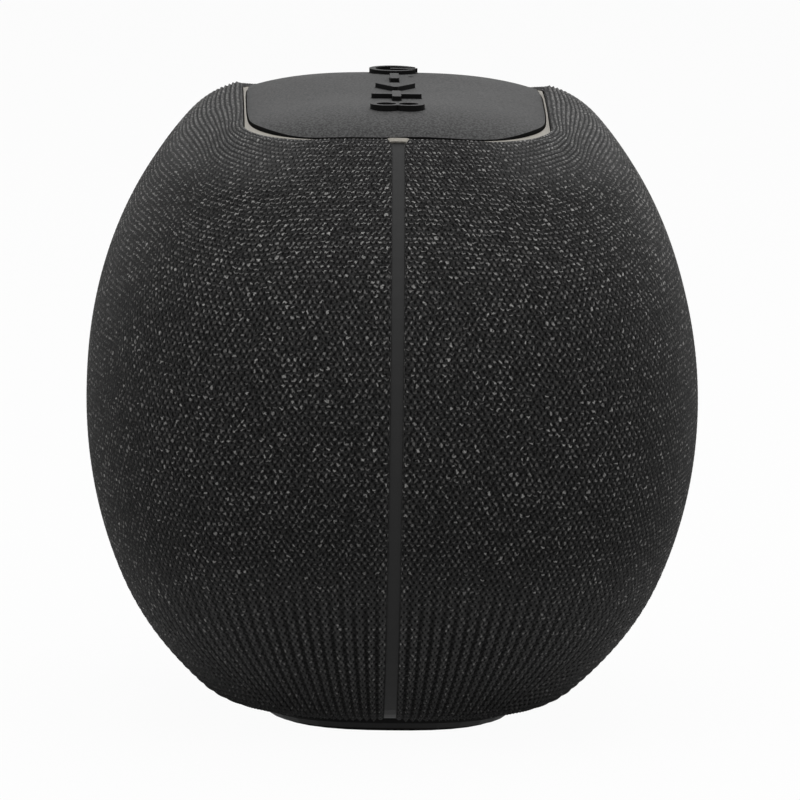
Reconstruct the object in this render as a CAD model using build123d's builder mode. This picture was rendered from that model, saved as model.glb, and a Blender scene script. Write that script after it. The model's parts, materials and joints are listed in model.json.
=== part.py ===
from build123d import *
from math import asin, atan, cos, pi, radians, sin, sqrt
import os

# Portable speaker: a fabric-covered ovoid with a crowned key panel sunk in its top.
# Millimetres. X is the width, Y runs from the front (-) to the back (+), Z is up.
# The origin is the middle of the rubber foot, on the surface that the speaker stands on.

os.makedirs("parts", exist_ok=True)

# ---------------------------------------------------------------- driving dimensions
# outer form
body_width = 190.0
body_depth = 150.0
waist_z = 79.0
waist_to_pole_above = 88.7
waist_to_pole_below = 90.5
plan_power = 3.4
foot_plan_power = 2.26
plan_turn_z = 36.0
shoulder_z = 144.0
rim_top_z = 152.2
hem_join_z = 8.0
hem_radius = 14.8
edge_lean = 82.0
girth_sides = 48
side_bands = 10
shoulder_bands = 3
hem_bands = 2

# walls and clearances
fabric_thickness = 1.2
shell_wall = 2.2
seat_gap = 0.3
slip_gap = 0.12
pilot_gap = 0.05

# seam strips at both ends
strip_width = 3.0
strip_recess = 0.3
strip_web = 1.2
strip_bead = 2.4
strip_bead_depth = 1.0
strip_top_z = 147.5
strip_steps = 40

# recess, bezel and panel in the top
recess_length = 115.0
recess_depth_y = 75.0
recess_corner = 9.0
bezel_end_z = 147.4
bezel_side_z = 149.6
bezel_base_z = 139.0
bezel_ledge_z = 144.5
bezel_ledge = 5.0
panel_length = 113.0
panel_depth_y = 73.0
panel_power = 5.0
panel_crest_z = 153.5
panel_wall = 2.2
panel_end_drop = 5.2
panel_end_power = 7
panel_side_drop = 4.1
panel_side_power = 3

# keys
key_pitch = 19.0
key_rise = 1.15
key_travel = 0.6
key_flange_length = 14.0
key_flange_width = 16.5
key_flange_top_z = 149.6
key_flange_thickness = 1.4
key_stem_radius = 2.4
key_flange_corner = 2.5
symbol_floor = 0.9
sign_rounding = 0.66
power_size = 12.0
power_stroke = 1.5
power_gap = 4.8
minus_length = 11.0
sign_stroke = 2.2
plus_size = 12.3
play_height = 10.8
play_length = 9.6
play_lean = 0.4
play_rounding = 0.7
pairing_ring = 7.8
pairing_span = 13.3
pairing_stroke = 1.5
led_x = -27.0
led_y = 4.2
led_radius = 0.6
led_body_length = 2.0
led_body_width = 1.6
led_body_height = 0.8
led_recess = 0.15

# key board and its switches
deck_thickness = 2.0
board_thickness = 1.6
key_board_length = 98.0
key_board_width = 24.0
key_board_corner = 2.0
key_board_z = 141.4
switch_size = 6.0
switch_height = 3.1
plunger_radius = 1.75
plunger_height = 1.7
plunger_gap = 0.08
post_x = 46.0
post_y = 9.0
post_radius = 2.2
post_pin_radius = 1.0
plunger_rise = 0.7
deck_screw_x = 34.0
deck_screw_y = 18.0
deck_leg_radius = 4.4

# sealed acoustic enclosure
box_width = 116.0
box_front_y = -44.0
box_back_y = 44.0
box_bottom_z = 28.0
box_top_z = 132.0
box_corner = 18.0
box_wall = 3.0
box_screw_inset = 9.0
box_boss_length = 18.0
baffle_wall = 4.0
baffle_depth = 7.2
gasket_thickness = 0.8
gasket_width = 2.4

# woofer, facing the front
woofer_z = 67.0
woofer_radius = 38.0
woofer_hole_radius = 33.0
woofer_flange = 2.5
woofer_screw_radius = 35.4
basket_depth = 18.0
basket_wall = 1.5
basket_neck_radius = 22.0
basket_ribs = 6
basket_rib_width = 5.0
basket_rim = 2.0
basket_window_inset = 0.5
basket_lip = 1.0
spider_shelf = 3.4
cone_radius = 26.0
cone_wall = 0.8
cone_depth = 11.0
cone_belly = 0.42
surround_wall = 0.6
former_radius = 10.8
former_wall = 0.6
former_length = 13.0
winding_wall = 0.45
winding_length = 7.0
gap_inner_radius = 9.4
gap_outer_radius = 11.6
magnet_radius = 21.0
magnet_hole_radius = 13.5
magnet_height = 8.0
plate_radius = 20.0
plate_height = 3.5
yoke_chamfer = 1.0
dust_cap_radius = 13.0
dust_cap_rise = 4.6
spider_wall = 0.5
spider_wave = 0.7
spider_folds = 5
roll_bends = 6
dome_bends = 4

# tweeter, above the woofer
tweeter_z = 118.6
tweeter_radius = 12.8
tweeter_plate = 2.0
tweeter_hole_radius = 9.8
tweeter_mouth_radius = 8.2
tweeter_flare = 1.4
dome_radius = 7.6
dome_rise = 2.6
dome_wall = 0.4
dome_skirt = 3.4
cup_radius = 9.5
cup_wall = 1.1
cup_length = 10.8
cup_floor = 2.0
tweeter_magnet_radius = 6.4
tweeter_magnet_height = 6.4

# passive radiator, facing the back
radiator_z = 84.0
radiator_radius = 41.0
radiator_hole_radius = 36.0
radiator_inner_radius = 35.0
radiator_flange = 3.0
radiator_screw_radius = 38.2
radiator_plate_radius = 27.0
radiator_plate_height = 2.4
radiator_plate_rim = 6.0
radiator_dish = 0.8
radiator_chamfer = 0.8
radiator_surround_wall = 0.8
driver_screw_bite = 2.6

# foot, base and floor screws
base_length = 91.0
base_depth_y = 63.0
base_power = 3.0
base_thickness = 4.0
base_bevel = 1.4
base_bevel_rise = 1.4
foot_length = 80.0
foot_depth_y = 57.0
foot_seat = 0.5
foot_power = 2.6
leg_x = 35.8
leg_y = 8.0
leg_radius = 3.0
screw_radius = 1.5
screw_head_radius = 2.4
screw_head_height = 1.0
screw_bite = 9.0
screw_point_gap = 1.0
screw_drive = 0.55
screw_drive_reach = 2.75
boss_radius = 4.0
boss_floor = 2.5

# battery, main board and charging socket
cell_radius = 9.2
cell_length = 65.0
cell_gap = 0.4
cell_chamfer = 0.8
tray_length = 50.0
tray_wall = 1.0
tray_rise = 6.0
tray_corner = 3.0
main_board_length = 60.0
main_board_z = 21.4
main_board_margin = 11.0
board_clearance = 2.5
board_post_x = 22.0
board_post_inset = 11.0
board_post_pitch = 14.0
board_post_radius = 2.8
board_screw_bite = 4.0
amplifier_size = 9.0
radio_size = 7.0
chip_height = 1.2
chip_x = 8.0
chip_setback = 3.0
capacitor_radius = 3.2
capacitor_x = 12.6
capacitor_pitch = 6.8
capacitor_setback = 1.0
socket_width = 8.94
socket_height = 3.26
socket_seat = 6.0
socket_wall = 0.35
socket_floor = 1.2
tongue_width = 6.7
tongue_thickness = 0.7
tongue_gap = 0.8
port_frame_wall = 1.4
port_frame_reach = 1.2

# perforations
hole_across = 4.6
hole_pitch = 7.4
slot_length = 46.0
slot_width = 3.2
slot_pitch = 7.4
slot_count = 8
woofer_hole_columns = 7
woofer_hole_rows = 9
tweeter_hole_columns = 3
tweeter_hole_rows = 2

# ---------------------------------------------------------------- places worked out
half_width = body_width / 2
half_depth = body_depth / 2
shell_inset = fabric_thickness + seat_gap
cavity_inset = shell_inset + shell_wall
seam_half = strip_width / 2 + seat_gap
web_half = strip_web / 2 + slip_gap
deck_top_z = bezel_base_z
deck_bottom_z = deck_top_z - deck_thickness
switch_z = key_board_z + board_thickness
switch_top_z = switch_z + switch_height
plunger_top_z = switch_top_z + plunger_rise
plunger_bottom_z = plunger_top_z - plunger_height
box_centre_z = (box_bottom_z + box_top_z) / 2
box_height = box_top_z - box_bottom_z
seal_y = box_front_y + baffle_depth
rear_box_y = seal_y + gasket_thickness
board_top_z = main_board_z + board_thickness
socket_z = board_top_z + socket_height / 2
cell_y = cell_radius + cell_gap / 2
board_post_y = box_back_y - board_post_inset
main_board_front_y = board_post_y - main_board_margin
cone_rim_y = box_front_y - surround_wall
plate_y = box_front_y + basket_depth
magnet_y = plate_y + plate_height
yoke_y = magnet_y + magnet_height
cone_neck_y = cone_rim_y + cone_depth
dome_y = box_front_y - surround_wall
box_pilot = screw_radius + pilot_gap
key_names = ("power", "volume_down", "play", "volume_up", "pairing")
key_places = [(i - 2) * key_pitch for i in range(5)]


# ---------------------------------------------------------------- shared geometry
def side_climb(z):
    """How far a height is from the waist towards the pole of the side curve."""
    return (z - waist_z) / (waist_to_pole_above if z > waist_z else waist_to_pole_below)


def side_share(z):
    """Share of the full width and depth that the plain side curve has at a height."""
    return sqrt(1 - side_climb(z) ** 2)


def side_lean(z):
    """Angle between the side curve and the vertical at a height, in radians."""
    pole = waist_to_pole_above if z > waist_z else waist_to_pole_below
    return atan(half_depth / pole * abs(side_climb(z)) / side_share(z))


shoulder_lean = side_lean(shoulder_z)
shoulder_radius = (rim_top_z - shoulder_z) / (1 - sin(shoulder_lean))
hem_lean = side_lean(hem_join_z)
hem_z = hem_join_z - hem_radius * (sin(radians(edge_lean)) - sin(hem_lean))


def rolled_share(join_z, lean, radius, climb):
    """The share on an arc that leaves the side curve smoothly and has climbed away."""
    turned = sin(lean) + climb / radius
    return side_share(join_z) - radius * (cos(lean) - sqrt(1 - turned**2)) / half_depth


def girth(z):
    """Share of the full width and depth at a height, rolled in at the rim and the hem."""
    if z > shoulder_z:
        return rolled_share(shoulder_z, shoulder_lean, shoulder_radius, z - shoulder_z)
    if z < hem_join_z:
        return rolled_share(hem_join_z, hem_lean, hem_radius, hem_join_z - z)
    return side_share(z)


def arc_heights(join_z, lean, radius, bands):
    """Heights that turn an edge arc evenly from the side curve to its end."""
    last = radians(edge_lean)
    return [
        join_z + radius * (sin(lean + (last - lean) * i / bands) - sin(lean)) for i in range(1, bands + 1)
    ]


def band_heights():
    """Heights of the outlines that the ovoid is built through, hem to rim."""
    low = asin(side_climb(hem_join_z))
    high = asin(side_climb(shoulder_z))
    hem = arc_heights(hem_join_z, hem_lean, -hem_radius, hem_bands)
    rim = arc_heights(shoulder_z, shoulder_lean, shoulder_radius, shoulder_bands)
    side = []
    for i in range(side_bands + 1):
        turn = low + (high - low) * i / side_bands
        pole = waist_to_pole_above if turn > 0 else waist_to_pole_below
        side.append(waist_z + pole * sin(turn))
    return hem[::-1] + side + rim


def corner_power(z):
    """Power of the plan outline at a height: squarer at the waist, rounder at the foot."""
    if z > plan_turn_z:
        return plan_power
    fall = (plan_turn_z - z) / (plan_turn_z - hem_z)
    return plan_power + (foot_plan_power - plan_power) * fall**2 * (3 - 2 * fall)


def rounded_outline(half_x, half_y, power, sides):
    """Points of a superellipse, evenly turned about its middle."""
    points = []
    for i in range(sides):
        c, s = cos(2 * pi * i / sides), sin(2 * pi * i / sides)
        reach = (abs(c / half_x) ** power + abs(s / half_y) ** power) ** (-1 / power)
        points.append((reach * c, reach * s))
    return points


def ovoid(inset):
    """The closed body form, drawn in evenly by about the inset all over."""
    shrink = 1 - inset / half_depth
    with BuildPart() as form:
        for z in band_heights():
            reach = shrink * girth(z)
            with BuildSketch(Plane.XY.offset(waist_z + shrink * (z - waist_z))):
                with BuildLine():
                    Polyline(
                        *rounded_outline(
                            half_width * reach, half_depth * reach, corner_power(z), girth_sides
                        ),
                        close=True,
                    )
                make_face()
        loft(ruled=True)
    return form.part


def inner_depth(z):
    """Half depth of the hollow inside the shells at a height."""
    shrink = 1 - cavity_inset / half_depth
    return half_depth * shrink * girth(waist_z + (z - waist_z) / shrink)


def smooth_outline(length, width, power):
    """A face with a superellipse's outline, from smooth curves."""
    with BuildSketch() as face:
        with BuildLine():
            Spline(*rounded_outline(length / 2, width / 2, power, 28), periodic=True)
        make_face()
    return face.sketch


def even_outline(length, width, power):
    """A face with a superellipse's outline, from short even chords as on the covers."""
    with BuildSketch() as face:
        with BuildLine():
            Polyline(*rounded_outline(length / 2, width / 2, power, girth_sides), close=True)
        make_face()
    return face.sketch


def panel_height(x, y, drop=0.0):
    """Height of the crowned panel's top above the ground."""
    end = panel_end_drop * abs(2 * x / panel_length) ** panel_end_power
    side = panel_side_drop * abs(2 * y / panel_depth_y) ** panel_side_power
    return panel_crest_z - end - side - drop


def crowned_block(drop, floor_z):
    """A block under the panel's crowned top, or under that top lowered by a wall."""
    reach_x, reach_y = panel_length / 2 + seat_gap, panel_depth_y / 2 + seat_gap
    with BuildPart() as block:
        for share in (-1, -0.86, -0.7, -0.4, 0, 0.4, 0.7, 0.86, 1):
            x = share * reach_x
            crown = [
                (y * reach_y, panel_height(x, y * reach_y, drop))
                for y in (-1, -0.75, -0.4, 0, 0.4, 0.75, 1)
            ]
            with BuildSketch(Plane.YZ.offset(x)):
                with BuildLine():
                    Spline(*crown)
                    Polyline(crown[-1], (reach_y, floor_z), (-reach_y, floor_z), crown[0])
                make_face()
        loft()
    return block.part


def key_symbol(name, grow=0.0):
    """Outline of a key's head in the panel; the holes for it are the same outline, grown."""
    with BuildSketch() as face:
        if name == "power":
            Circle(power_size / 2)
        elif name == "pairing":
            with Locations((0, (pairing_span - pairing_ring) / 2), (0, (pairing_ring - pairing_span) / 2)):
                Circle(pairing_ring / 2)
        elif name == "volume_down":
            RectangleRounded(minus_length, sign_stroke, sign_rounding)
        elif name == "volume_up":
            RectangleRounded(plus_size, sign_stroke, sign_rounding)
            RectangleRounded(sign_stroke, plus_size, sign_rounding)
        else:
            Polygon(
                (-play_length * play_lean, play_height / 2),
                (-play_length * play_lean, -play_height / 2),
                (play_length * (1 - play_lean), 0),
                align=None,
            )
            fillet(face.vertices(), play_rounding)
        if grow:
            offset(amount=grow, kind=Kind.INTERSECTION)
    return face.sketch


def symbol_pockets(name):
    """What is sunk inside a key's head, so that only its strokes stand up."""
    with BuildSketch() as face:
        if name == "power":
            Circle(power_size / 2 - power_stroke)
            with Locations((0, power_size / 4)):
                Rectangle(power_gap, power_size / 2 + power_stroke)
                Rectangle(power_stroke, power_size / 2 + power_stroke, mode=Mode.SUBTRACT)
        elif name == "pairing":
            reach = (pairing_span - pairing_ring) / 2
            with Locations((0, reach), (0, -reach)):
                Circle(pairing_ring / 2 - pairing_stroke)
    return face.sketch


def facing_front(y):
    """The upright plane at a depth, looking to the front."""
    return Plane.XZ.offset(-y)


def facing_back(y):
    """The upright plane at a depth, looking to the back."""
    return Plane((0, y, 0), x_dir=(-1, 0, 0), z_dir=(0, 1, 0))


def four(x, y, middle=0.0):
    """Places at the corners of a rectangle, given by its half sizes."""
    return [(x, middle + y), (-x, middle + y), (x, middle - y), (-x, middle - y)]


def turned(axis_z, corners):
    """A body turned about a driver's axis, from pairs of depth and radius."""
    with BuildPart() as body:
        with BuildSketch(Plane.YZ):
            with BuildLine():
                Polyline(*[(y, axis_z + r) for y, r in corners], close=True)
            make_face()
        revolve(axis=Axis((0, 0, axis_z), (0, 1, 0)))
    return body.part


def half_roll(axis_z, y, inner, outer, wall, way):
    """A flexible half-round ring between two radii, bulging one way."""
    middle, reach = (inner + outer) / 2, (outer - inner) / 2
    bends = [pi * i / roll_bends for i in range(roll_bends + 1)]
    outside = [(y + way * reach * sin(a), middle - reach * cos(a)) for a in bends]
    reach -= wall
    inside = [(y + way * reach * sin(a), middle - reach * cos(a)) for a in bends]
    return turned(axis_z, outside + inside[::-1])


def dome(axis_z, y, radius, rise, wall):
    """A thin cap about a driver's axis, bulging to the front."""
    bend = (radius**2 + rise**2) / (2 * rise)
    centre_y = y - rise + bend

    def cap(reach, rim):
        turns = [asin(rim / reach) * i / dome_bends for i in range(dome_bends + 1)]
        return [(centre_y - reach * cos(a), reach * sin(a)) for a in turns]

    return turned(axis_z, cap(bend, radius) + cap(bend - wall, radius - wall)[::-1])


def screws(plane, places, length):
    """Screws with their heads on a plane and their shanks below it."""
    with BuildPart() as group:
        with BuildSketch(plane):
            with Locations(*places):
                Circle(screw_head_radius)
        extrude(amount=screw_head_height)
        with BuildSketch(plane.offset(screw_head_height)):
            with Locations(*places):
                Rectangle(screw_drive_reach, screw_drive)
                Rectangle(screw_drive, screw_drive_reach)
        extrude(amount=-screw_drive, mode=Mode.SUBTRACT)
        with BuildSketch(plane):
            with Locations(*places):
                Circle(screw_radius)
        extrude(amount=-length)
    return group.part


def box_outline(inset):
    """The acoustic enclosure's outline from the front, drawn in by an inset."""
    with BuildSketch() as face:
        with Locations((0, box_centre_z)):
            RectangleRounded(box_width - 2 * inset, box_height - 2 * inset, box_corner - inset)
    return face.sketch


def posts(plane, places, radius, length):
    """Round posts that stand on a plane."""
    with BuildPart() as group:
        with BuildSketch(plane):
            with Locations(*places):
                Circle(radius)
        extrude(amount=length)
    return group.part


socket_face_y = half_depth * side_share(socket_z - socket_height / 2) - seat_gap
main_board_back_y = inner_depth(main_board_z) - board_clearance
port_frame_inner_y = inner_depth(socket_z) - port_frame_reach
cavity_floor_z = waist_z - (waist_z - hem_z) * (1 - cavity_inset / half_depth)
shell_floor_z = waist_z - (waist_z - hem_z) * (1 - shell_inset / half_depth)
base_top_z = shell_floor_z - seat_gap
base_bottom_z = base_top_z - base_thickness
foot_top_z = base_bottom_z + foot_seat
tray_z = cavity_floor_z + seat_gap
cell_z = tray_z + tray_wall + seat_gap + cell_radius
box_screw_places = four(
    box_width / 2 - box_screw_inset, box_height / 2 - box_screw_inset, middle=box_centre_z
)
woofer_screw_places = four(woofer_screw_radius * sin(pi / 4), woofer_screw_radius * sin(pi / 4), woofer_z)
radiator_screw_places = four(
    radiator_screw_radius * sin(pi / 4), radiator_screw_radius * sin(pi / 4), radiator_z
)
deck_screw_places = four(deck_screw_x, deck_screw_y)
key_post_places = four(post_x, post_y)
base_screw_places = four(leg_x, leg_y)
board_screw_places = four(board_post_x, board_post_pitch / 2, board_post_y)

# ---------------------------------------------------------------- fabric and shells
outer_form = ovoid(0)
shell_form = ovoid(shell_inset)
cavity_form = ovoid(cavity_inset)

with BuildPart() as sleeve:
    add(outer_form)
    add(ovoid(fabric_thickness), mode=Mode.SUBTRACT)
    with BuildSketch(Plane.XY.offset(waist_z)):
        RectangleRounded(recess_length, recess_depth_y, recess_corner)
    extrude(amount=rim_top_z, mode=Mode.SUBTRACT)
    with BuildSketch(Plane.XY):
        add(even_outline(base_length + 2 * seat_gap, base_depth_y + 2 * seat_gap, base_power))
    extrude(amount=shell_floor_z, mode=Mode.SUBTRACT)

with BuildPart() as port_cut:
    with BuildSketch(Plane.XZ):
        with Locations((0, socket_z)):
            SlotOverall(
                socket_width + 2 * (slip_gap + port_frame_wall + seat_gap),
                socket_height + 2 * (slip_gap + port_frame_wall + seat_gap),
            )
    extrude(amount=-body_depth)

with BuildPart() as fabric_front:
    add(sleeve.part)
    split(bisect_by=Plane.XZ.offset(seam_half), keep=Keep.TOP)

with BuildPart() as fabric_rear:
    add(sleeve.part)
    split(bisect_by=Plane.XZ.offset(-seam_half), keep=Keep.BOTTOM)
    add(port_cut.part, mode=Mode.SUBTRACT)

with BuildPart() as shell:
    add(shell_form)
    add(cavity_form, mode=Mode.SUBTRACT)
    with BuildSketch(Plane.XY.offset(waist_z)):
        RectangleRounded(recess_length, recess_depth_y, recess_corner)
    extrude(amount=rim_top_z, mode=Mode.SUBTRACT)
    with BuildSketch(Plane.XY):
        with Locations(*base_screw_places):
            Circle(box_pilot)
    extrude(amount=box_bottom_z, mode=Mode.SUBTRACT)

with BuildPart() as grille_front:
    add(shell.part)
    split(bisect_by=Plane.XZ.offset(web_half), keep=Keep.TOP)
    with BuildSketch(Plane.XZ):
        with Locations((0, woofer_z)):
            with HexLocations(hole_pitch / 2, woofer_hole_columns, woofer_hole_rows):
                RegularPolygon(hole_across / 2, 6, major_radius=False)
        with Locations((0, tweeter_z)):
            with HexLocations(hole_pitch / 2, tweeter_hole_columns, tweeter_hole_rows):
                RegularPolygon(hole_across / 2, 6, major_radius=False)
    extrude(amount=body_depth, mode=Mode.SUBTRACT)

with BuildPart() as grille_rear:
    add(shell.part)
    split(bisect_by=Plane.XZ.offset(-web_half), keep=Keep.BOTTOM)
    with BuildSketch(Plane.XZ):
        with Locations((0, radiator_z)):
            with GridLocations(0, slot_pitch, 1, slot_count):
                Rectangle(slot_length, slot_width)
    extrude(amount=-body_depth, mode=Mode.SUBTRACT)
    add(port_cut.part, mode=Mode.SUBTRACT)

# ---------------------------------------------------------------- seam strips
def end_curve(inset):
    """The body's end curve at the middle of its depth, drawn in by an inset."""
    shrink = 1 - inset / half_depth
    points = []
    for i in range(strip_steps + 1):
        level = hem_z + (strip_top_z - hem_z) * (1 - cos(pi * i / strip_steps)) / 2
        points.append((half_width * shrink * girth(level), waist_z + shrink * (level - waist_z)))
    return points


def strip_layer(outer, inner, width):
    """A flat bar that follows the end curve between two insets."""
    with BuildPart() as layer:
        with BuildSketch(Plane.XZ):
            with BuildLine():
                Polyline(*end_curve(outer), *reversed(end_curve(inner)), close=True)
            make_face()
        extrude(amount=width / 2, both=True)
    return layer.part


bead_inset = cavity_inset + 3 * seat_gap
with BuildPart() as seam_strip_right:
    add(strip_layer(strip_recess, shell_inset, strip_width))
    add(strip_layer(shell_inset - slip_gap, bead_inset + strip_bead_depth, strip_web))
    add(strip_layer(bead_inset, bead_inset + strip_bead_depth, strip_bead))
    with BuildSketch(Plane.XY.offset(waist_z)):
        RectangleRounded(recess_length, recess_depth_y, recess_corner)
    extrude(amount=rim_top_z, mode=Mode.SUBTRACT)

with BuildPart() as seam_strip_left:
    add(seam_strip_right.part.mirror(Plane.YZ))

# ---------------------------------------------------------------- bezel and panel
with BuildPart() as bezel_ring:
    with BuildSketch(Plane.XZ):
        with BuildLine():
            ThreePointArc(
                (-recess_length / 2, bezel_end_z), (0, bezel_side_z), (recess_length / 2, bezel_end_z)
            )
            Polyline(
                (recess_length / 2, bezel_end_z),
                (recess_length / 2, bezel_base_z),
                (-recess_length / 2, bezel_base_z),
                (-recess_length / 2, bezel_end_z),
            )
        make_face()
    extrude(amount=recess_depth_y / 2, both=True)
    with BuildSketch(Plane.XY.offset(bezel_base_z)):
        RectangleRounded(
            recess_length - 2 * seat_gap, recess_depth_y - 2 * seat_gap, recess_corner - seat_gap
        )
    extrude(amount=panel_crest_z, mode=Mode.INTERSECT)
    with BuildSketch(Plane.XY.offset(bezel_ledge_z)):
        add(smooth_outline(panel_length + 2 * seat_gap, panel_depth_y + 2 * seat_gap, panel_power))
    extrude(amount=panel_crest_z, mode=Mode.SUBTRACT)
    with BuildSketch(Plane.XY.offset(bezel_base_z)):
        add(smooth_outline(panel_length - 2 * bezel_ledge, panel_depth_y - 2 * bezel_ledge, panel_power))
    extrude(amount=panel_crest_z, mode=Mode.SUBTRACT)

with BuildPart() as panel_hollow:
    add(crowned_block(panel_wall, bezel_base_z))
    with BuildSketch(Plane.XY.offset(bezel_ledge_z)):
        add(smooth_outline(panel_length - 2 * panel_wall, panel_depth_y - 2 * panel_wall, panel_power))
    extrude(amount=panel_crest_z, mode=Mode.INTERSECT)

with BuildPart() as top_panel:
    add(crowned_block(0, bezel_base_z))
    with BuildSketch(Plane.XY.offset(bezel_ledge_z)):
        add(smooth_outline(panel_length, panel_depth_y, panel_power))
    extrude(amount=panel_crest_z, mode=Mode.INTERSECT)
    add(panel_hollow.part, mode=Mode.SUBTRACT)
    for name, x in zip(key_names, key_places):
        with BuildSketch(Plane((x, 0, bezel_ledge_z))):
            add(key_symbol(name, grow=slip_gap))
        extrude(amount=panel_crest_z, mode=Mode.SUBTRACT)
    with BuildSketch(Plane((led_x, led_y, bezel_ledge_z))):
        Circle(led_radius + slip_gap)
    extrude(amount=panel_crest_z, mode=Mode.SUBTRACT)

# ---------------------------------------------------------------- keys
keys = {}
for name, x in zip(key_names, key_places):
    key_top_z = panel_height(x, 0) + key_rise
    with BuildPart() as key:
        with BuildSketch(Plane((x, 0, key_flange_top_z - key_flange_thickness))):
            RectangleRounded(key_flange_length, key_flange_width, key_flange_corner)
        extrude(amount=key_flange_thickness)
        with BuildSketch(Plane((x, 0, key_flange_top_z))):
            add(key_symbol(name))
        extrude(amount=key_top_z - key_flange_top_z)
        if name in ("power", "pairing"):
            with BuildSketch(Plane((x, 0, key_top_z - symbol_floor))):
                add(symbol_pockets(name))
            extrude(amount=symbol_floor, mode=Mode.SUBTRACT)
        with BuildSketch(Plane((x, 0, plunger_top_z))):
            Circle(key_stem_radius)
        extrude(amount=key_flange_top_z - plunger_top_z)
    keys[name] = key.part

# ---------------------------------------------------------------- deck, key board and switches
with BuildPart() as top_deck:
    with BuildSketch(Plane.XY.offset(deck_bottom_z)):
        RectangleRounded(
            recess_length - 2 * seat_gap, recess_depth_y - 2 * seat_gap, recess_corner - seat_gap
        )
    extrude(amount=deck_thickness)
    add(posts(Plane.XY.offset(box_top_z), deck_screw_places, deck_leg_radius, deck_bottom_z - box_top_z))
    add(posts(Plane.XY.offset(deck_top_z), key_post_places, post_radius, key_board_z - deck_top_z))
    pin_length = board_thickness + post_pin_radius
    add(posts(Plane.XY.offset(key_board_z), key_post_places, post_pin_radius, pin_length))
    add(
        posts(Plane.XY.offset(box_top_z), deck_screw_places, box_pilot, deck_top_z - box_top_z),
        mode=Mode.SUBTRACT,
    )

with BuildPart() as key_board:
    with BuildSketch(Plane.XY.offset(key_board_z)):
        RectangleRounded(key_board_length, key_board_width, key_board_corner)
        with Locations(*key_post_places):
            Circle(post_pin_radius + pilot_gap, mode=Mode.SUBTRACT)
    extrude(amount=board_thickness)

with BuildPart() as tact_switches:
    with BuildSketch(Plane.XY.offset(switch_z)):
        with GridLocations(key_pitch, 0, 5, 1):
            Rectangle(switch_size, switch_size)
    extrude(amount=switch_height)
    with BuildSketch(Plane.XY.offset(plunger_bottom_z - key_travel - seat_gap)):
        with GridLocations(key_pitch, 0, 5, 1):
            Circle(plunger_radius + plunger_gap)
    extrude(amount=switch_height, mode=Mode.SUBTRACT)

plungers = {}
for name, x in zip(key_names, key_places):
    with BuildPart() as plunger:
        with BuildSketch(Plane((x, 0, plunger_bottom_z))):
            Circle(plunger_radius)
        extrude(amount=plunger_height)
    plungers[name] = plunger.part

with BuildPart() as status_led:
    with BuildSketch(Plane((led_x, led_y, switch_z))):
        Rectangle(led_body_length, led_body_width)
    extrude(amount=led_body_height)
    with BuildSketch(Plane((led_x, led_y, switch_z + led_body_height))):
        Circle(led_radius)
    extrude(amount=panel_height(led_x, led_y) - led_recess - switch_z - led_body_height)

deck_screws = screws(Plane.XY.offset(deck_top_z), deck_screw_places, deck_top_z - box_top_z + screw_bite)

# ---------------------------------------------------------------- acoustic enclosure
with BuildPart() as enclosure_front:
    with BuildSketch(facing_front(seal_y)):
        add(box_outline(0))
    extrude(amount=baffle_depth)
    with BuildSketch(facing_front(seal_y)):
        add(box_outline(box_wall))
    extrude(amount=baffle_depth - baffle_wall, mode=Mode.SUBTRACT)
    add(posts(facing_front(seal_y), box_screw_places, boss_radius, baffle_depth - baffle_wall))
    with BuildSketch(facing_front(seal_y)):
        with Locations((0, woofer_z)):
            Circle(woofer_hole_radius)
        with Locations((0, tweeter_z)):
            Circle(tweeter_hole_radius)
        with Locations(*box_screw_places):
            Circle(box_pilot)
    extrude(amount=baffle_depth, mode=Mode.SUBTRACT)
    add(
        posts(facing_back(box_front_y), woofer_screw_places, box_pilot, driver_screw_bite),
        mode=Mode.SUBTRACT,
    )

with BuildPart() as enclosure_gasket:
    with BuildSketch(facing_front(rear_box_y)):
        add(box_outline(seat_gap))
        add(box_outline(gasket_width), mode=Mode.SUBTRACT)
    extrude(amount=gasket_thickness)

with BuildPart() as enclosure_rear:
    with BuildSketch(facing_front(box_back_y)):
        add(box_outline(0))
    extrude(amount=box_back_y - rear_box_y)
    with BuildSketch(facing_front(box_back_y - box_wall)):
        add(box_outline(box_wall))
    extrude(amount=box_back_y - rear_box_y, mode=Mode.SUBTRACT)
    with BuildSketch(facing_front(box_back_y)):
        with Locations((0, radiator_z)):
            Circle(radiator_hole_radius)
    extrude(amount=box_wall, mode=Mode.SUBTRACT)
    add(posts(facing_back(rear_box_y), box_screw_places, boss_radius, box_boss_length))
    add(
        posts(
            Plane.XY.offset(box_top_z - box_wall / 2),
            deck_screw_places,
            boss_radius,
            -(screw_bite + boss_floor - box_wall / 2),
        )
    )
    add(
        posts(
            Plane.XY.offset(tray_z),
            base_screw_places,
            leg_radius,
            box_bottom_z + box_wall / 2 - tray_z,
        )
    )
    add(
        posts(
            Plane.XY.offset(board_top_z),
            board_screw_places,
            board_post_radius,
            box_bottom_z + box_wall / 2 - board_top_z,
        )
    )
    add(posts(facing_back(rear_box_y), box_screw_places, box_pilot, screw_bite), mode=Mode.SUBTRACT)
    add(posts(Plane.XY.offset(box_top_z), deck_screw_places, box_pilot, -screw_bite), mode=Mode.SUBTRACT)
    add(posts(Plane.XY.offset(tray_z), base_screw_places, box_pilot, screw_bite), mode=Mode.SUBTRACT)
    add(
        posts(Plane.XY.offset(board_top_z), board_screw_places, box_pilot, board_screw_bite),
        mode=Mode.SUBTRACT,
    )
    add(
        posts(facing_front(box_back_y), radiator_screw_places, box_pilot, driver_screw_bite),
        mode=Mode.SUBTRACT,
    )

enclosure_screws = screws(
    facing_front(box_front_y), box_screw_places, baffle_depth + gasket_thickness + screw_bite
)

# ---------------------------------------------------------------- woofer
woofer_face_y = box_front_y - woofer_flange
shelf_y = plate_y - basket_wall - spider_shelf
spider_outer = basket_neck_radius - basket_wall - slip_gap

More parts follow.
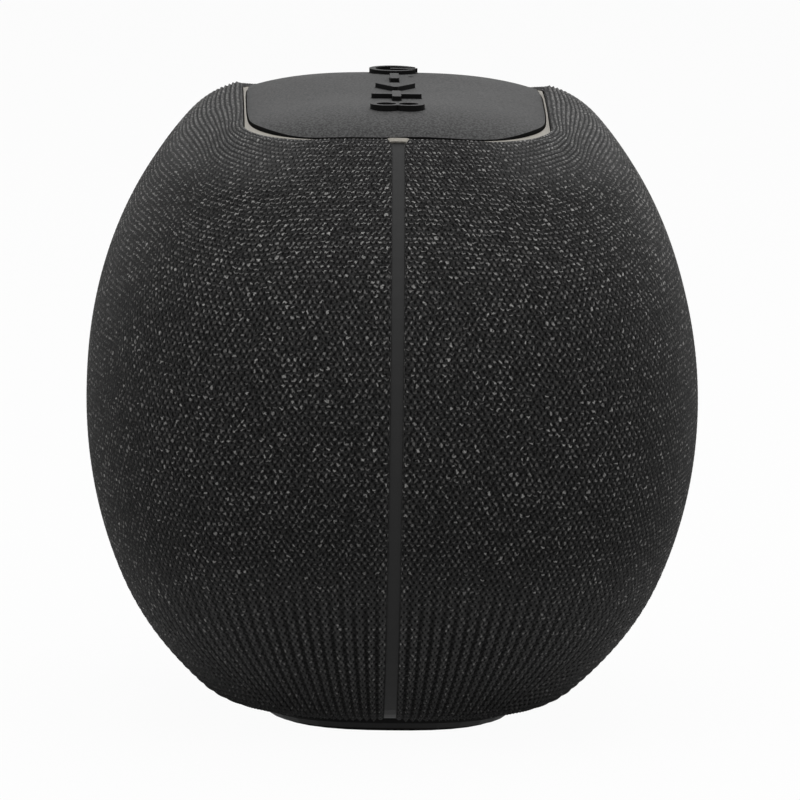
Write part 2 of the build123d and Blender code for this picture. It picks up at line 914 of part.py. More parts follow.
with BuildPart() as woofer_basket:
    add(
        turned(
            woofer_z,
            [
                (woofer_face_y, woofer_radius),
                (box_front_y, woofer_radius),
                (box_front_y, woofer_hole_radius - slip_gap),
                (box_front_y + basket_wall, woofer_hole_radius - slip_gap),
                (shelf_y, basket_neck_radius),
                (plate_y, basket_neck_radius),
                (plate_y, magnet_hole_radius - basket_lip),
                (plate_y - basket_wall, magnet_hole_radius - basket_lip),
                (plate_y - basket_wall, basket_neck_radius - basket_wall),
                (shelf_y, basket_neck_radius - basket_wall),
                (box_front_y + surround_wall, woofer_hole_radius - basket_rim),
                (box_front_y + surround_wall, woofer_hole_radius - 2 * seat_gap),
                (woofer_face_y, woofer_hole_radius - 2 * seat_gap),
            ],
        )
    )
    with BuildSketch(facing_front(shelf_y - basket_window_inset)):
        with Locations((0, woofer_z)):
            Circle(woofer_hole_radius - basket_rim - basket_window_inset)
            Circle(basket_neck_radius + basket_window_inset, mode=Mode.SUBTRACT)
            with PolarLocations(0, basket_ribs // 2, angular_range=180):
                Rectangle(2 * woofer_radius, basket_rib_width, mode=Mode.SUBTRACT)
    extrude(amount=shelf_y - basket_window_inset - box_front_y - basket_wall, mode=Mode.SUBTRACT)
    add(
        posts(facing_front(box_front_y), woofer_screw_places, box_pilot, woofer_flange),
        mode=Mode.SUBTRACT,
    )

woofer_top_plate = turned(
    woofer_z,
    [
        (plate_y, gap_outer_radius),
        (plate_y, plate_radius),
        (magnet_y, plate_radius),
        (magnet_y, gap_outer_radius),
    ],
)
woofer_magnet = turned(
    woofer_z,
    [
        (magnet_y, magnet_hole_radius),
        (magnet_y, magnet_radius),
        (yoke_y, magnet_radius),
        (yoke_y, magnet_hole_radius),
    ],
)
woofer_yoke = turned(
    woofer_z,
    [
        (plate_y, 0),
        (plate_y, gap_inner_radius),
        (yoke_y, gap_inner_radius),
        (yoke_y, plate_radius),
        (yoke_y + plate_height, plate_radius - yoke_chamfer),
        (yoke_y + plate_height, 0),
    ],
)
belly_y = cone_neck_y - cone_depth / 2
belly_radius = former_radius + cone_belly * (cone_radius - former_radius)
woofer_cone = turned(
    woofer_z,
    [
        (cone_rim_y, cone_radius),
        (cone_rim_y + cone_wall, cone_radius),
        (belly_y + cone_wall, belly_radius),
        (cone_neck_y + cone_wall, former_radius),
        (cone_neck_y, former_radius),
        (belly_y, belly_radius),
    ],
)
winding_y = plate_y + (plate_height - winding_length) / 2
woofer_coil = turned(
    woofer_z,
    [
        (cone_neck_y, former_radius - former_wall),
        (cone_neck_y, former_radius),
        (winding_y, former_radius),
        (winding_y, former_radius + winding_wall),
        (winding_y + winding_length, former_radius + winding_wall),
        (winding_y + winding_length, former_radius),
        (cone_neck_y + former_length, former_radius),
        (cone_neck_y + former_length, former_radius - former_wall),
    ],
)
neck_slope = (cone_neck_y - belly_y) / (belly_radius - former_radius)
dust_cap_y = cone_neck_y - (dust_cap_radius - former_radius) * neck_slope - slip_gap
woofer_dust_cap = dome(woofer_z, dust_cap_y, dust_cap_radius, dust_cap_rise, cone_wall / 2)
woofer_surround = half_roll(
    woofer_z,
    cone_rim_y,
    cone_radius + slip_gap,
    woofer_hole_radius - 2 * seat_gap - slip_gap,
    surround_wall,
    -1,
)
spider_inner = former_radius + slip_gap
spider_front = [
    (
        shelf_y - spider_wall + spider_wave * (i % 2),
        spider_inner + (spider_outer - spider_inner) * i / spider_folds,
    )
    for i in range(spider_folds + 1)
]
woofer_spider = turned(woofer_z, spider_front + [(y + spider_wall, r) for y, r in reversed(spider_front)])

# ---------------------------------------------------------------- tweeter
tweeter_faceplate = turned(
    tweeter_z,
    [
        (box_front_y - tweeter_plate, tweeter_mouth_radius + tweeter_flare),
        (box_front_y - tweeter_plate, tweeter_radius),
        (box_front_y, tweeter_radius),
        (box_front_y, tweeter_mouth_radius),
        (box_front_y - tweeter_plate / 2, tweeter_mouth_radius),
    ],
)
with BuildPart() as tweeter_dome:
    add(dome(tweeter_z, dome_y, dome_radius, dome_rise, dome_wall))
    add(
        turned(
            tweeter_z,
            [
                (dome_y, dome_radius - dome_wall),
                (dome_y, dome_radius),
                (dome_y + dome_skirt, dome_radius),
                (dome_y + dome_skirt, dome_radius - dome_wall),
            ],
        )
    )
cup_y = box_front_y + slip_gap
tweeter_cup = turned(
    tweeter_z,
    [
        (cup_y, cup_radius - cup_wall),
        (cup_y, cup_radius),
        (cup_y + cup_length, cup_radius),
        (cup_y + cup_length, 0),
        (cup_y + cup_length - cup_floor, 0),
        (cup_y + cup_length - cup_floor, cup_radius - cup_wall),
    ],
)
tweeter_magnet_y = cup_y + cup_length - cup_floor
tweeter_magnet = turned(
    tweeter_z,
    [
        (tweeter_magnet_y - tweeter_magnet_height, 0),
        (tweeter_magnet_y - tweeter_magnet_height, tweeter_magnet_radius),
        (tweeter_magnet_y, tweeter_magnet_radius),
        (tweeter_magnet_y, 0),
    ],
)

# ---------------------------------------------------------------- passive radiator
radiator_face_y = box_back_y + radiator_flange
with BuildPart() as radiator_frame:
    add(
        turned(
            radiator_z,
            [
                (box_back_y, radiator_inner_radius),
                (box_back_y, radiator_radius),
                (radiator_face_y - radiator_chamfer, radiator_radius),
                (radiator_face_y, radiator_radius - radiator_chamfer),
                (radiator_face_y, radiator_inner_radius),
            ],
        )
    )
    add(
        posts(facing_front(radiator_face_y), radiator_screw_places, box_pilot, radiator_flange),
        mode=Mode.SUBTRACT,
    )
radiator_plate_y = radiator_face_y - radiator_surround_wall - radiator_plate_height
radiator_plate_face_y = radiator_plate_y + radiator_plate_height
radiator_plate = turned(
    radiator_z,
    [
        (radiator_plate_y, 0),
        (radiator_plate_y, radiator_plate_radius - radiator_chamfer),
        (radiator_plate_y + radiator_chamfer, radiator_plate_radius),
        (radiator_plate_face_y, radiator_plate_radius),
        (radiator_plate_face_y, radiator_plate_radius - radiator_plate_rim),
        (radiator_plate_face_y - radiator_dish, radiator_plate_radius - radiator_plate_rim - radiator_dish),
        (radiator_plate_face_y - radiator_dish, 0),
    ],
)
radiator_surround = half_roll(
    radiator_z,
    radiator_plate_face_y - radiator_surround_wall,
    radiator_plate_radius + slip_gap,
    radiator_inner_radius - slip_gap,
    radiator_surround_wall,
    1,
)
with BuildPart() as driver_screws:
    add(screws(facing_front(woofer_face_y), woofer_screw_places, woofer_flange + driver_screw_bite))
    add(screws(facing_back(radiator_face_y), radiator_screw_places, radiator_flange + driver_screw_bite))

# ---------------------------------------------------------------- battery
with BuildPart() as battery_cells:
    end_x, end_radius = cell_length / 2, cell_radius - cell_chamfer
    for y in (-cell_y, cell_y):
        with BuildSketch(Plane.XY.offset(cell_z)):
            with BuildLine():
                Polyline(
                    (-end_x, y),
                    (-end_x, y + end_radius),
                    (cell_chamfer - end_x, y + cell_radius),
                    (end_x - cell_chamfer, y + cell_radius),
                    (end_x, y + end_radius),
                    (end_x, y),
                    close=True,
                )
            make_face()
        revolve(axis=Axis((0, y, cell_z), (1, 0, 0)))

with BuildPart() as battery_tray:
    with BuildSketch(Plane.XY.offset(tray_z)):
        RectangleRounded(tray_length, 2 * (cell_y + cell_radius + seat_gap + tray_wall), tray_corner)
    extrude(amount=tray_wall + tray_rise)
    with BuildSketch(Plane.YZ.offset(-tray_length / 2)):
        with Locations((-cell_y, cell_z), (cell_y, cell_z)):
            Circle(cell_radius + seat_gap)
    extrude(amount=tray_length, mode=Mode.SUBTRACT)

# ---------------------------------------------------------------- main board and charging socket
with BuildPart() as main_board:
    with BuildSketch(Plane.XY.offset(main_board_z)):
        with Locations((0, (main_board_front_y + main_board_back_y) / 2)):
            Rectangle(main_board_length, main_board_back_y - main_board_front_y)
        with Locations(*board_screw_places):
            Circle(box_pilot, mode=Mode.SUBTRACT)
    extrude(amount=board_thickness)

board_screws = screws(
    Plane((0, 0, main_board_z), x_dir=(1, 0, 0), z_dir=(0, 0, -1)),
    [(x, -y) for x, y in board_screw_places],
    board_thickness + board_screw_bite,
)

capacitor_y = main_board_back_y - capacitor_radius - capacitor_setback
with BuildPart() as board_components:
    with BuildSketch(Plane.XY.offset(board_top_z)):
        with Locations((-chip_x, board_post_y - chip_setback)):
            Rectangle(amplifier_size, amplifier_size)
        with Locations((chip_x, board_post_y - chip_setback)):
            Rectangle(radio_size, radio_size)
    extrude(amount=chip_height)
    with BuildSketch(Plane.XY.offset(board_top_z)):
        with Locations((-capacitor_x, capacitor_y)):
            with GridLocations(capacitor_pitch, 0, 2, 1):
                Circle(capacitor_radius)
    extrude(amount=box_bottom_z - board_top_z - seat_gap)

with BuildPart() as charge_socket:
    with BuildSketch(facing_back(main_board_back_y - socket_seat)):
        with Locations((0, socket_z)):
            SlotOverall(socket_width, socket_height)
    extrude(amount=socket_face_y - main_board_back_y + socket_seat)
    with BuildSketch(facing_back(main_board_back_y - socket_seat + socket_floor)):
        with Locations((0, socket_z)):
            SlotOverall(socket_width - 2 * socket_wall, socket_height - 2 * socket_wall)
    extrude(amount=body_depth, mode=Mode.SUBTRACT)
    with BuildSketch(facing_back(main_board_back_y - socket_seat + socket_floor)):
        with Locations((0, socket_z)):
            Rectangle(tongue_width, tongue_thickness)
    extrude(amount=socket_face_y - tongue_gap - main_board_back_y + socket_seat - socket_floor)

with BuildPart() as port_frame:
    port_frame_grow = 2 * (slip_gap + port_frame_wall)
    with BuildSketch(facing_back(port_frame_inner_y)):
        with Locations((0, socket_z)):
            SlotOverall(socket_width + port_frame_grow, socket_height + port_frame_grow)
            SlotOverall(socket_width + 2 * slip_gap, socket_height + 2 * slip_gap, mode=Mode.SUBTRACT)
    extrude(amount=body_depth)
    add(outer_form, mode=Mode.INTERSECT)

# ---------------------------------------------------------------- base and foot
with BuildPart() as base_plate:
    with BuildSketch(Plane.XY.offset(base_bottom_z)):
        add(even_outline(base_length - 2 * base_bevel, base_depth_y - 2 * base_bevel, base_power))
    with BuildSketch(Plane.XY.offset(base_bottom_z + base_bevel_rise)):
        add(even_outline(base_length, base_depth_y, base_power))
    loft(ruled=True)
    with BuildSketch(Plane.XY.offset(base_bottom_z + base_bevel_rise)):
        add(even_outline(base_length, base_depth_y, base_power))
    extrude(amount=base_thickness - base_bevel_rise)
    with BuildSketch(Plane.XY.offset(base_bottom_z)):
        add(even_outline(foot_length + 2 * slip_gap, foot_depth_y + 2 * slip_gap, foot_power))
    extrude(amount=foot_seat, mode=Mode.SUBTRACT)
    seat = Plane.XY.offset(foot_top_z)
    add(posts(seat, base_screw_places, screw_head_radius + slip_gap, screw_head_height), mode=Mode.SUBTRACT)
    add(posts(seat, base_screw_places, box_pilot, base_thickness), mode=Mode.SUBTRACT)

with BuildPart() as foot_pad:
    with BuildSketch(Plane.XY):
        add(even_outline(foot_length, foot_depth_y, foot_power))
    extrude(amount=foot_top_z)

base_screws = screws(
    Plane((0, 0, foot_top_z + screw_head_height), x_dir=(1, 0, 0), z_dir=(0, 0, -1)),
    base_screw_places,
    tray_z + screw_bite - screw_point_gap - foot_top_z - screw_head_height,
)

# ---------------------------------------------------------------- labels and files
pieces = {
    "fabric_front": fabric_front.part,
    "fabric_rear": fabric_rear.part,
    "grille_front": grille_front.part,
    "grille_rear": grille_rear.part,
    "seam_strip_right": seam_strip_right.part,
    "seam_strip_left": seam_strip_left.part,
    "bezel_ring": bezel_ring.part,
    "top_panel": top_panel.part,
    "top_deck": top_deck.part,
    "deck_screws": deck_screws,
    "key_board": key_board.part,
    "tact_switches": tact_switches.part,
    "status_led": status_led.part,
    "enclosure_front": enclosure_front.part,
    "enclosure_gasket": enclosure_gasket.part,
    "enclosure_rear": enclosure_rear.part,
    "enclosure_screws": enclosure_screws,
    "woofer_basket": woofer_basket.part,
    "woofer_top_plate": woofer_top_plate,
    "woofer_magnet": woofer_magnet,
    "woofer_yoke": woofer_yoke,
    "woofer_cone": woofer_cone,
    "woofer_coil": woofer_coil,
    "woofer_dust_cap": woofer_dust_cap,
    "woofer_surround": woofer_surround,
    "woofer_spider": woofer_spider,
    "tweeter_faceplate": tweeter_faceplate,
    "tweeter_dome": tweeter_dome.part,
    "tweeter_cup": tweeter_cup,
    "tweeter_magnet": tweeter_magnet,
    "radiator_frame": radiator_frame.part,
    "radiator_plate": radiator_plate,
    "radiator_surround": radiator_surround,
    "driver_screws": driver_screws.part,
    "battery_cells": battery_cells.part,
    "battery_tray": battery_tray.part,
    "main_board": main_board.part,
    "board_screws": board_screws,
    "board_components": board_components.part,
    "charge_socket": charge_socket.part,
    "port_frame": port_frame.part,
    "base_plate": base_plate.part,
    "base_screws": base_screws,
    "foot_pad": foot_pad.part,
}
for name in key_names:
    pieces["key_" + name] = keys[name]
    pieces["plunger_" + name] = plungers[name]

for name, piece in pieces.items():
    piece.label = name
    export_step(piece, f"parts/{name}.step")
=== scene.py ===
import json
from math import atan, cos, hypot, pi, radians, sin

import bpy
import numpy as np
from mathutils import Matrix, Vector


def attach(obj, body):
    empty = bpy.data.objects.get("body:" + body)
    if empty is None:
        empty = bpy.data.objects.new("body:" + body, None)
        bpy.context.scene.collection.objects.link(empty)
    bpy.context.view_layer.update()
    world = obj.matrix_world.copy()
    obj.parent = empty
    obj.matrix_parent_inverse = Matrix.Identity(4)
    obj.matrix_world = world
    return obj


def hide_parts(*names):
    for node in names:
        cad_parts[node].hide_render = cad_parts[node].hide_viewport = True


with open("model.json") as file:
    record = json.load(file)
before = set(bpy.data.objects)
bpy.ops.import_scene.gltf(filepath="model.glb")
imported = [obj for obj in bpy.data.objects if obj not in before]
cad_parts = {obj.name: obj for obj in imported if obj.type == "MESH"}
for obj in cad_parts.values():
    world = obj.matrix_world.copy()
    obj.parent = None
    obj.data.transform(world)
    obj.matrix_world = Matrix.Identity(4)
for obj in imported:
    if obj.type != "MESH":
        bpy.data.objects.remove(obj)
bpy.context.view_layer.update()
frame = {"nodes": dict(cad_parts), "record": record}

# A portable speaker: knitted covers over an ovoid, a seam strip at both ends, and a crowned
# key panel sunk in the top. Metres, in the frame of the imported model.

nodes = frame["nodes"]
slots = {part["node"]: part["material_slot"] for part in frame["record"]["subparts"]}
mm = 0.001


# ---------------------------------------------------------------- shader expressions
class Value:
    """A number that varies over a surface. Arithmetic on it adds Math nodes."""

    def __init__(self, finish, socket):
        self.finish = finish
        self.socket = socket

    def math(self, operation, *others):
        inputs = {0: self.socket}
        for i, other in enumerate(others, 1):
            inputs[i] = other.socket if isinstance(other, Value) else other
        made = self.finish.node("ShaderNodeMath", {"operation": operation}, inputs)
        return Value(self.finish, made.outputs[0])

    def __add__(self, other):
        return self.math("ADD", other)

    def __sub__(self, other):
        return self.math("SUBTRACT", other)

    def __mul__(self, other):
        return self.math("MULTIPLY", other)

    def __truediv__(self, other):
        return self.math("DIVIDE", other)

    def __pow__(self, other):
        return self.math("POWER", other)

    def __rsub__(self, other):
        return self.math("MULTIPLY_ADD", -1.0, other)

    def __gt__(self, other):
        return self.math("GREATER_THAN", other)

    __radd__ = __add__
    __rmul__ = __mul__

    def floor(self):
        return self.math("FLOOR")

    def fract(self):
        return self.math("FRACT")

    def size(self):
        return self.math("ABSOLUTE")

    def at_least(self, other):
        return self.math("MAXIMUM", other)

    def at_most(self, other):
        return self.math("MINIMUM", other)

    def sine(self):
        return self.math("SINE")

    def cosine(self):
        return self.math("COSINE")

    def mixed(self, share, other):
        """This number drawn towards another by a share."""
        return self + (other - self) * share

    def rise(self, low, high):
        """0 below low, 1 above high, and a smooth step between."""
        made = self.finish.node(
            "ShaderNodeMapRange",
            {"interpolation_type": "SMOOTHSTEP"},
            {"Value": self.socket, "From Min": low, "From Max": high},
        )
        return Value(self.finish, made.outputs[0])


class Finish:
    """A procedural material and the nodes that it is made of."""

    def __init__(self, name):
        self.material = bpy.data.materials.new(name)
        self.material.use_nodes = True
        self.tree = self.material.node_tree
        self.shader = self.tree.nodes["Principled BSDF"]

    def node(self, kind, settings=None, inputs=None):
        made = self.tree.nodes.new(kind)
        for name, value in (settings or {}).items():
            setattr(made, name, value)
        for name, value in (inputs or {}).items():
            self.feed(made.inputs[name], value)
        return made

    def feed(self, socket, value):
        if isinstance(value, Value):
            value = value.socket
        if isinstance(value, bpy.types.NodeSocket):
            self.tree.links.new(value, socket)
        elif isinstance(value, tuple) and socket.type == "RGBA":
            socket.default_value = (*value, 1)
        else:
            socket.default_value = value

    def set(self, **sockets):
        """Set or link the shader's own sockets, with underscores for spaces."""
        for name, value in sockets.items():
            self.feed(self.shader.inputs[name.replace("_", " ")], value)

    def place(self):
        """Object coordinates, in metres."""
        return self.node("ShaderNodeTexCoord").outputs["Object"]

    def axes(self, vector):
        """A vector's three numbers."""
        made = self.node("ShaderNodeSeparateXYZ", None, {0: vector})
        return [Value(self, output) for output in made.outputs]

    def noise(self, scale, detail=2.0, roughness=0.5):
        """Even noise from 0 to 1, its scale in waves to the metre."""
        made = self.node(
            "ShaderNodeTexNoise",
            None,
            {"Vector": self.place(), "Scale": scale, "Detail": detail, "Roughness": roughness},
        )
        return Value(self, made.outputs[0])

    def speck(self, x, y, z):
        """A random number from 0 to 1 for each cell, from three whole numbers."""
        spot = self.node("ShaderNodeCombineXYZ", None, {0: x, 1: y, 2: z})
        made = self.node("ShaderNodeTexWhiteNoise", None, {"Vector": spot.outputs[0]})
        return Value(self, made.outputs["Value"])

    def mix(self, share, first, second):
        """A colour between two colours."""
        made = self.node(
            "ShaderNodeMix", {"data_type": "RGBA"}, {0: share, 6: first, 7: second}
        )
        return made.outputs[2]

    def bump(self, height, distance, strength=1.0):
        made = self.node(
            "ShaderNodeBump", None, {"Height": height, "Distance": distance, "Strength": strength}
        )
        self.set(Normal=made.outputs[0])


def grey(level):
    """A neutral colour of a display level from 0 to 255."""
    share = level / 255
    linear = share / 12.92 if share < 0.04045 else ((share + 0.055) / 1.055) ** 2.4
    return (linear, linear, linear)


def tint(red, green, blue):
    return (grey(red)[0], grey(green)[0], grey(blue)[0])


# ---------------------------------------------------------------- finishes
stitch_wale = 1.62 * mm
stitch_course = 1.36 * mm
gather_top_z = 54.0 * mm
gather_end_z = 24.0 * mm
drawn_start_z = 105.0 * mm
drawn_end_z = 138.0 * mm
rib_start_z = 134.0 * mm
rib_end_z = 146.0 * mm
rib_start_y = 16.0 * mm
rib_end_y = 40.0 * mm
wale_wander = 0.4
course_wander = 0.45
yarn_wander_x = 1.3
yarn_wander_y = 1.5
curled_above = 0.6
loop_half_width = 0.36
loop_half_height = 0.54
# How dark the painted shade is in the valleys of the gathers and between the ribs.
fold_shade_depth = 0.85
rib_shade_depth = 0.75


def knit_fabric():
    """Near-black knitted cloth: staggered stitches with a dark hole under each, and lighter
    yarns that come to the face here and there."""
    knit = Finish("knit_fabric")
    weave = knit.node("ShaderNodeUVMap", {"uv_map": "weave"})
    wales, courses, _ = knit.axes(weave.outputs[0])
    wales = wales + (knit.noise(260) - 0.5) * wale_wander
    courses = courses + (knit.noise(230) - 0.5) * course_wander
    _, beside, height = knit.axes(knit.place())
    beside = beside.size()
    row = (courses + 0.5).floor()
    slid = wales - (row * 0.5).fract()
    column = (slid + 0.5).floor()

    # Millimetres from the middle of the stitch, along the course and up the wale.
    x = (slid - column) * (stitch_wale / mm) + (knit.noise(1100, detail=1) - 0.5) * yarn_wander_x
    y = (courses - row) * (stitch_course / mm) + (knit.noise(1250, detail=1) - 0.5) * yarn_wander_y
    lattice = (wales * (2 * pi)).cosine() * (courses * pi).cosine()

    # The loop on each stitch: an oval that is shifted, leant or curled by chance, drawn out
    # into a flat dash where the cloth is pulled over the shoulder.
    shift = knit.speck(column, row, 3.0) - 0.5
    slope = knit.speck(column, row, 5.0) - 0.5
    curl = knit.speck(column, row, 9.0) > curled_above
    drawn = height.rise(drawn_start_z, drawn_end_z)
    over = x - shift * 0.4
    bow = y + shift * 0.3 - over * over * curl * 0.9 + over * drawn * 0.35
    narrow = over - bow * slope * (1.3 - drawn * 0.7)
    dash = narrow / (loop_half_width + curl * 0.18 + drawn * 0.44)
    rise = bow / ((loop_half_height - curl * 0.2) * (1 - drawn * 0.5))
    loop = (1 - dash * dash - rise * rise).at_least(0.0) ** 0.8

    # Holes between the stitches, vertical gathers towards the hem and ribs along the rim. The
    # valleys of the gathers and the lines between the ribs are darkened as painted shade, the ribbed
    # corners are lightened as a painted sheen, and the yarn is lighter towards the hem.
    fibres = knit.noise(6500)
    tangle = knit.noise(1700, detail=3)
    open_hole = (lattice + (tangle - 0.5) * 0.9).rise(-0.95, -0.15)
    gathered = 1 - height.rise(gather_end_z, gather_top_z)
    # Painted shade: the valleys between the gathered folds near the hem are darkened.
    groove = 1 - gathered * (0.5 - (wales * pi).sine() * 0.5).rise(0.4, 0.9) * fold_shade_depth
    ribbed = height.rise(rib_start_z, rib_end_z) * beside.rise(rib_start_y, rib_end_y)
    # Painted shade: the lines between the ribs along the rim are darkened, by a wave along the
    # courses.
    sway = (courses + (knit.noise(500) - 0.5) * 0.5) * (2 * pi)
    rib_shade = 1 - ribbed * (0.5 - sway.cosine() * 0.5).rise(0.35, 0.9) * rib_shade_depth
    plain = knit.mix(tangle.rise(0.35, 0.7), grey(24), grey(48))
    # Painted sheen: the yarn on the ribbed corners of the rim is drawn towards grey(94), the light
    # falling on them from above.
    yarn = knit.mix(ribbed * 0.7, knit.mix(gathered * 0.8, plain, grey(66)), grey(94))
    ground = knit.mix(open_hole.mixed(ribbed * 0.5, 1.0) * groove * rib_shade, grey(8), yarn)

    # Which stitches show a lighter yarn, and how light it is. More of them are pale towards the top,
    # a painted highlight from the light above, and all are dimmed by the painted shade in the
    # valleys.
    pick = knit.speck(column, row, 1.0)
    shade = knit.speck(column, row, 7.0)
    dim = knit.mix(shade, tint(52, 51, 50), tint(98, 97, 96))
    pale = knit.mix(shade, tint(104, 103, 102), tint(156, 155, 153))
    lit = knit.mix((pick + drawn * 0.42).rise(0.6, 1.0), dim, pale)
    show = (loop * (fibres * 0.8 + 0.6) * groove * rib_shade).at_most(1.0)
    knit.set(Base_Color=knit.mix(show, ground, lit), Roughness=0.9, Specular_IOR_Level=0.05)
    knit.set(Sheen_Weight=0.04, Sheen_Roughness=0.5)
    knit.bump(open_hole * 0.6 + loop * 0.5 + tangle * 0.35, 0.3 * mm, 1.0)
    return knit.material


def moulded(name, colour, low, high, grain=900.0, depth=0.015, coat=0.0, shine=0.5):
    """Moulded plastic with a fine spark-eroded grain and a slightly uneven gloss."""
    plastic = Finish(name)
    fine = plastic.noise(grain * 4, detail=3)
    broad = plastic.noise(28, detail=3)
    plastic.set(Roughness=low + (high - low) * broad.rise(0.3, 0.7), Specular_IOR_Level=shine)
    deeper = tuple(c * 0.78 for c in colour)
    plastic.set(Base_Color=plastic.mix(fine.rise(0.3, 0.75), deeper, colour))
    if coat:
        plastic.set(Coat_Weight=coat, Coat_Roughness=0.3)
    plastic.bump(fine, depth * mm, 0.6)
    return plastic.material


def satin_cap_painted_wall_shade(name, top, side):
    """Fine-grained satin plastic, with painted shade on its upright walls, which take a dark colour.
    """
    cap = Finish(name)
    grain = cap.noise(1700, detail=3, roughness=0.7)
    broad = cap.noise(30, detail=3)
    _, _, upward = cap.axes(cap.node("ShaderNodeNewGeometry").outputs["Normal"])
    # Faces turned up take the grained top colour; upright walls take the dark side colour, a painted
    # shade.
    level = upward.rise(0.35, 0.6)
    low, high = [tuple(c * share for c in top) for share in (0.5, 1.3)]
    speckled = cap.mix(grain.rise(0.36, 0.64), low, high)
    cap.set(Base_Color=cap.mix(level, side, speckled), Specular_IOR_Level=0.05)
    cap.set(Roughness=0.64 + broad.rise(0.3, 0.7) * 0.06 + (grain - 0.5) * 0.25)
    cap.bump(grain, 0.02 * mm, 0.8)
    return cap.material


def rubber(name, colour, roughness, shine=0.5):
    """Soft matt rubber or cloth with a fine grain."""
    soft = Finish(name)
    fine = soft.noise(3000, detail=3)
    soft.set(Base_Color=soft.mix(fine, tuple(c * 0.7 for c in colour), colour))
    soft.set(Roughness=roughness, Specular_IOR_Level=shine)
    soft.bump(fine, 0.02 * mm, 0.7)
    return soft.material


def metal(name, colour, roughness):
    """Bare metal with faint rolling marks."""
    bare = Finish(name)
    marks = bare.noise(700, detail=4)
    bare.set(Base_Color=colour, Metallic=1.0, Roughness=roughness + (marks - 0.5) * 0.18)
    bare.bump(marks, 0.006 * mm, 0.4)
    return bare.material


def circuit_board(name):
    """Green lacquer over wandering copper traces."""
    board = Finish(name)
    traces = board.noise(420, detail=0)
    lines = ((traces * 9.0).fract() - 0.5).size().rise(0.3, 0.42)
    board.set(Base_Color=board.mix(lines, tint(14, 62, 36), tint(28, 92, 54)), Roughness=0.34)
    board.bump(lines, 0.02 * mm, 0.5)
    return board.material


def light_pipe(name):
    """Milky plastic of the status light."""
    pipe = Finish(name)
    pipe.set(Base_Color=pipe.mix(pipe.noise(1800), grey(150), grey(190)), Roughness=0.42)
    return pipe.material


finishes = {
    "knit_fabric": knit_fabric(),
    "shell_plastic": moulded("shell_plastic", grey(26), 0.5, 0.62),
    "strip_plastic": moulded(
        "strip_plastic", grey(45), 0.58, 0.66, grain=1500, depth=0.006, shine=0.12
    ),
    "bezel_plastic": moulded(
        "bezel_plastic", tint(136, 132, 124), 0.56, 0.66, depth=0.006, shine=0.2
    ),
    # grey(14) is the painted shade on the upright walls of the keys and panel.
    "panel_plastic": satin_cap_painted_wall_shade("panel_plastic", grey(66), grey(14)),
    "black_plastic": moulded("black_plastic", grey(36), 0.65, 0.75, shine=0.1),
    "screw_steel": metal("screw_steel", grey(90), 0.38),
    "circuit_board": circuit_board("circuit_board"),
    "component_plastic": moulded("component_plastic", grey(34), 0.4, 0.55),
    "light_pipe": light_pipe("light_pipe"),
    "soft_rubber": rubber("soft_rubber", grey(30), 0.62),
    "foot_rubber": rubber("foot_rubber", grey(40), 0.8, shine=0.1),
    "spider_cloth": rubber("spider_cloth", tint(176, 138, 70), 0.8),
    "driver_steel": moulded("driver_steel", grey(32), 0.34, 0.46),
    "plated_steel": metal("plated_steel", grey(176), 0.34),
    "magnet": moulded("magnet", grey(62), 0.5, 0.66),
    "cone_plastic": moulded("cone_plastic", grey(40), 0.46, 0.6),
    "copper": metal("copper", tint(186, 110, 66), 0.3),
    "dome_silk": rubber("dome_silk", grey(44), 0.6),
    "radiator_metal": metal("radiator_metal", grey(60), 0.42),
    "cell_wrap": moulded("cell_wrap", tint(40, 98, 150), 0.25, 0.35, coat=0.3),
    "socket_steel": metal("socket_steel", grey(186), 0.28),
}

for name, node in nodes.items():
    node.data.materials.clear()
    node.data.materials.append(finishes[slots[name]])

# ---------------------------------------------------------------- the ovoid's form
half_width = 95.0 * mm
half_depth = 75.0 * mm
waist_z = 79.0 * mm
waist_to_pole_above = 88.7 * mm
waist_to_pole_below = 90.5 * mm
plan_power = 3.4
foot_plan_power = 2.26
plan_turn_z = 36.0 * mm
rim_plan_power = 4.0
rim_turn_z = 131.0 * mm
shoulder_z = 144.0 * mm
rim_top_z = 152.2 * mm
hem_join_z = 8.0 * mm
hem_radius = 14.8 * mm
edge_lean = radians(82)
recess_half_x = 57.5 * mm
recess_half_y = 37.5 * mm
recess_corner = 9.0 * mm
bezel_end_z = 147.4 * mm
bezel_side_z = 149.6 * mm
base_half_x = 45.8 * mm
base_half_y = 31.8 * mm
base_power = 3.0


def side_climb(z):
    """How far a height is from the waist towards the pole of the side curve."""
    return (z - waist_z) / np.where(z > waist_z, waist_to_pole_above, waist_to_pole_below)


def side_share(z):
    """Share of the full width and depth on the plain side curve."""
    return np.sqrt(1 - side_climb(z) ** 2)


def side_lean(z):
    """Angle between the side curve and the vertical."""
    pole = waist_to_pole_above if z > waist_z else waist_to_pole_below
    return float(np.arctan(half_depth / pole * abs(side_climb(z)) / side_share(z)))


shoulder_lean = side_lean(shoulder_z)
shoulder_radius = (rim_top_z - shoulder_z) / (1 - sin(shoulder_lean))
hem_lean = side_lean(hem_join_z)
hem_z = hem_join_z - hem_radius * (sin(edge_lean) - sin(hem_lean))


def rolled(join_z, lean, radius, climb):
    """Share on an arc that leaves the side curve smoothly and has climbed away."""
    turned = np.clip(sin(lean) + climb / radius, 0, 1)
    return side_share(join_z) - radius * (cos(lean) - np.sqrt(1 - turned**2)) / half_depth


def girth(z):
    """Share of the full width and depth, rolled in at the rim and at the hem."""
    side = side_share(np.clip(z, hem_join_z, shoulder_z))
    rim = rolled(shoulder_z, shoulder_lean, shoulder_radius, z - shoulder_z)
    hem = rolled(hem_join_z, hem_lean, hem_radius, hem_join_z - z)
    return np.where(z > shoulder_z, rim, np.where(z < hem_join_z, hem, side))


